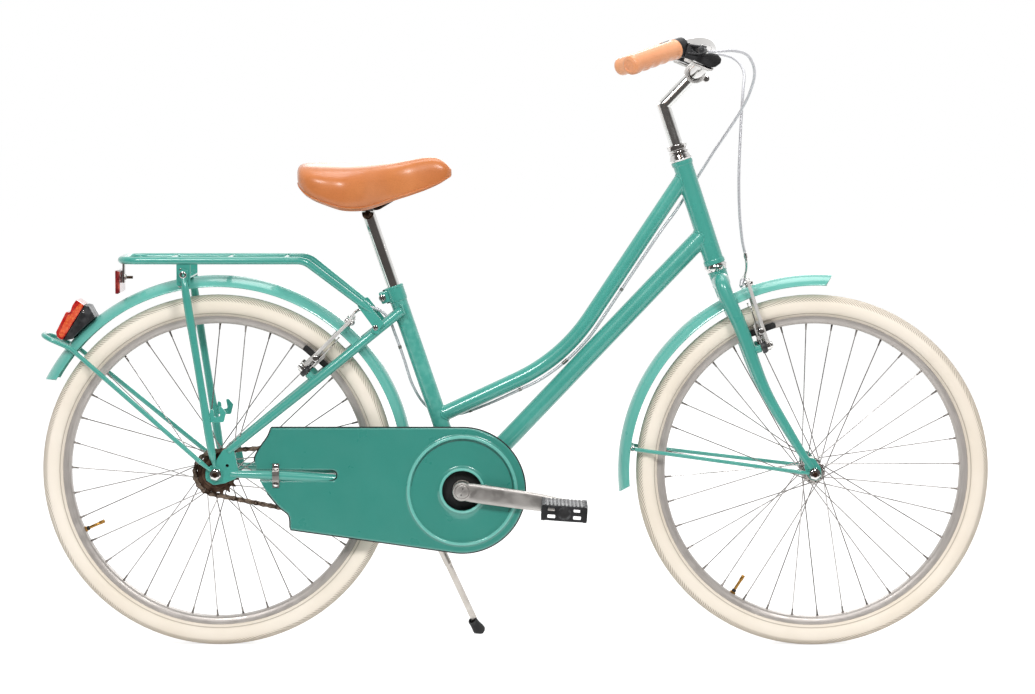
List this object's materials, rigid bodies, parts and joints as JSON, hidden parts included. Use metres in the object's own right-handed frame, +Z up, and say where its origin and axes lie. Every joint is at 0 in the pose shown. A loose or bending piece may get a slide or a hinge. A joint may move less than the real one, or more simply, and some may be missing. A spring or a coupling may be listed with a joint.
{
  "type": "city bicycle",
  "caption": "Step-through Dutch city bike with swept bars, closed chain case, V-brakes, mudguards, rear carrier and side stand; steers, pedals, brakes and folds its stand.",
  "frame": {"origin": "on the ground, midway between the two wheels and in the bike's middle plane", "axes": "+X forward, +Y to the rider's left, +Z up"},
  "size_m": [1.5811, 0.584, 1.0242],
  "materials": {
    "paint": "gloss",
    "chrome": "polished",
    "alloy": "satin",
    "tyre_rubber": "matt",
    "tan_leather": "satin",
    "black_plastic": "satin",
    "chain_steel": "oiled",
    "red_lens": "gloss",
    "cable_housing": "satin"
  },
  "bodies": {
    "frame": {"head_tube": "paint", "upper_tube": "paint", "down_tube": "paint", "seat_tube": "paint", "seat_clamp_bolt": "chrome", "bottom_bracket_shell": "paint", "rear_triangle": "paint", "headset_upper_cup": "chrome", "headset_lower_cup": "chrome", "rear_mudguard": "paint", "rear_mudguard_stay": "paint", "tail_light_housing": "black_plastic", "tail_light_lens": "red_lens", "rear_rack": "paint", "right_rack_leg": "paint", "left_rack_leg": "paint", "rear_reflector": "red_lens", "chain_case": "paint", "chain_case_clip": "chrome", "chain": "chain_steel", "rear_axle": "chrome", "rear_brake_cable": "cable_housing", "kickstand_mount": "paint"},
    "steering": {"fork": "paint", "headset_locknut": "chrome", "front_axle": "chrome", "front_mudguard": "paint", "front_mudguard_stay": "paint", "front_brake_cable": "cable_housing"},
    "cockpit": {"stem": "chrome", "handlebar": "chrome", "right_grip": "tan_leather", "left_grip": "tan_leather", "right_lever_clamp": "black_plastic", "left_lever_clamp": "black_plastic"},
    "right_lever": {"right_brake_lever": "black_plastic"},
    "left_lever": {"left_brake_lever": "black_plastic"},
    "front_wheel": {"front_tyre": "tyre_rubber", "front_rim": "alloy", "front_hub": "chrome"},
    "rear_wheel": {"rear_tyre": "tyre_rubber", "rear_rim": "alloy", "rear_hub": "chrome"},
    "freewheel": {"freewheel_sprocket": "chain_steel"},
    "crankset": {"crank_spindle": "chrome", "chainring": "alloy", "right_crank": "alloy", "left_crank": "alloy"},
    "right_pedal": {"right_pedal": "black_plastic"},
    "left_pedal": {"left_pedal": "black_plastic"},
    "left_front_arm": {"left_front_brake_arm": "chrome"},
    "right_front_arm": {"right_front_brake_arm": "chrome"},
    "left_rear_arm": {"left_rear_brake_arm": "chrome"},
    "right_rear_arm": {"right_rear_brake_arm": "chrome"},
    "seat_post": {"seat_post": "chrome"},
    "saddle": {"saddle": "tan_leather", "saddle_rails": "black_plastic"},
    "kickstand": {"kickstand_leg": "chrome", "kickstand_foot": "black_plastic"}
  },
  "joints": [
    {"name": "steering_turn", "type": "hinge", "parent": "frame", "child": "steering", "pos_m": [0.33228, 0, 0.64032], "axis": [-0.3123, 0, 0.95], "range_deg": [-60, 60], "deforming": ["rear_brake_cable"]},
    {"name": "stem_height", "type": "slide", "parent": "steering", "child": "cockpit", "axis": [-0.3123, 0, 0.95], "range_m": [-0.03, 0.03], "deforming": ["rear_brake_cable", "front_brake_cable"]},
    {"name": "right_lever_pull", "type": "hinge", "parent": "cockpit", "child": "right_lever", "pos_m": [0.2981, -0.19326, 0.99182], "axis": [-0.1191, 0, -0.9929], "range_deg": [0, 25], "stiffness_Nm_per_rad": 0.6, "springref_deg": -5.73},
    {"name": "left_lever_pull", "type": "hinge", "parent": "cockpit", "child": "left_lever", "pos_m": [0.2981, 0.19326, 0.99182], "axis": [0.1191, 0, 0.9929], "range_deg": [0, 25], "stiffness_Nm_per_rad": 0.6, "springref_deg": -5.73},
    {"name": "front_wheel_spin", "type": "hinge", "parent": "steering", "child": "front_wheel", "pos_m": [0.4965, 0, 0.29388], "axis": [0, 1, 0], "continuous": true},
    {"name": "rear_wheel_spin", "type": "hinge", "parent": "frame", "child": "rear_wheel", "pos_m": [-0.4965, 0, 0.29388], "axis": [0, 1, 0], "continuous": true},
    {"name": "crank_spin", "type": "hinge", "parent": "frame", "child": "crankset", "pos_m": [-0.08808, 0, 0.26598], "axis": [0, 1, 0], "continuous": true, "deforming": ["chain"]},
    {"name": "freewheel_spin", "type": "hinge", "parent": "frame", "child": "freewheel", "pos_m": [-0.4965, 0, 0.29388], "axis": [0, 1, 0], "continuous": true},
    {"name": "right_pedal_spin", "type": "hinge", "parent": "crankset", "child": "right_pedal", "pos_m": [0.08027, -0.127, 0.24232], "axis": [0, 1, 0], "continuous": true},
    {"name": "left_pedal_spin", "type": "hinge", "parent": "crankset", "child": "left_pedal", "pos_m": [-0.25643, 0.127, 0.28964], "axis": [0, 1, 0], "continuous": true},
    {"name": "left_front_arm_swing", "type": "hinge", "parent": "steering", "child": "left_front_arm", "pos_m": [0.41545, 0.043, 0.50484], "axis": [0.95, 0, 0.3123], "range_deg": [0, 3.2], "stiffness_Nm_per_rad": 0.5, "springref_deg": -5.73},
    {"name": "right_front_arm_swing", "type": "hinge", "parent": "steering", "child": "right_front_arm", "pos_m": [0.41545, -0.043, 0.50484], "axis": [-0.95, 0, -0.3123], "range_deg": [0, 3.2], "stiffness_Nm_per_rad": 0.5, "springref_deg": -5.73},
    {"name": "left_rear_arm_swing", "type": "hinge", "parent": "frame", "child": "left_rear_arm", "pos_m": [-0.35011, 0.043, 0.46606], "axis": [-0.6997, 0, 0.7144], "range_deg": [0, 3.2], "stiffness_Nm_per_rad": 0.5, "springref_deg": -5.73},
    {"name": "right_rear_arm_swing", "type": "hinge", "parent": "frame", "child": "right_rear_arm", "pos_m": [-0.35011, -0.043, 0.46606], "axis": [0.6997, 0, -0.7144], "range_deg": [0, 3.2], "stiffness_Nm_per_rad": 0.5, "springref_deg": -5.73},
    {"name": "seat_post_height", "type": "slide", "parent": "frame", "child": "seat_post", "axis": [-0.3239, 0, 0.9461], "range_m": [-0.05, 0.03]},
    {"name": "saddle_tilt", "type": "hinge", "parent": "seat_post", "child": "saddle", "pos_m": [-0.24486, 0, 0.72388], "axis": [0, 1, 0], "range_deg": [-10, 10]},
    {"name": "kickstand_fold", "type": "hinge", "parent": "frame", "child": "kickstand", "pos_m": [-0.16808, 0.038, 0.24629], "axis": [0, 0.9962, 0.0872], "range_deg": [0, 100]}
  ],
  "couplings": [
    {"joint": "freewheel_spin", "follows": "crank_spin", "ratio": 2.4444},
    {"joint": "left_front_arm_swing", "follows": "left_lever_pull", "ratio": 0.128},
    {"joint": "right_front_arm_swing", "follows": "left_lever_pull", "ratio": 0.128},
    {"joint": "left_rear_arm_swing", "follows": "right_lever_pull", "ratio": 0.128},
    {"joint": "right_rear_arm_swing", "follows": "right_lever_pull", "ratio": 0.128}
  ]
}
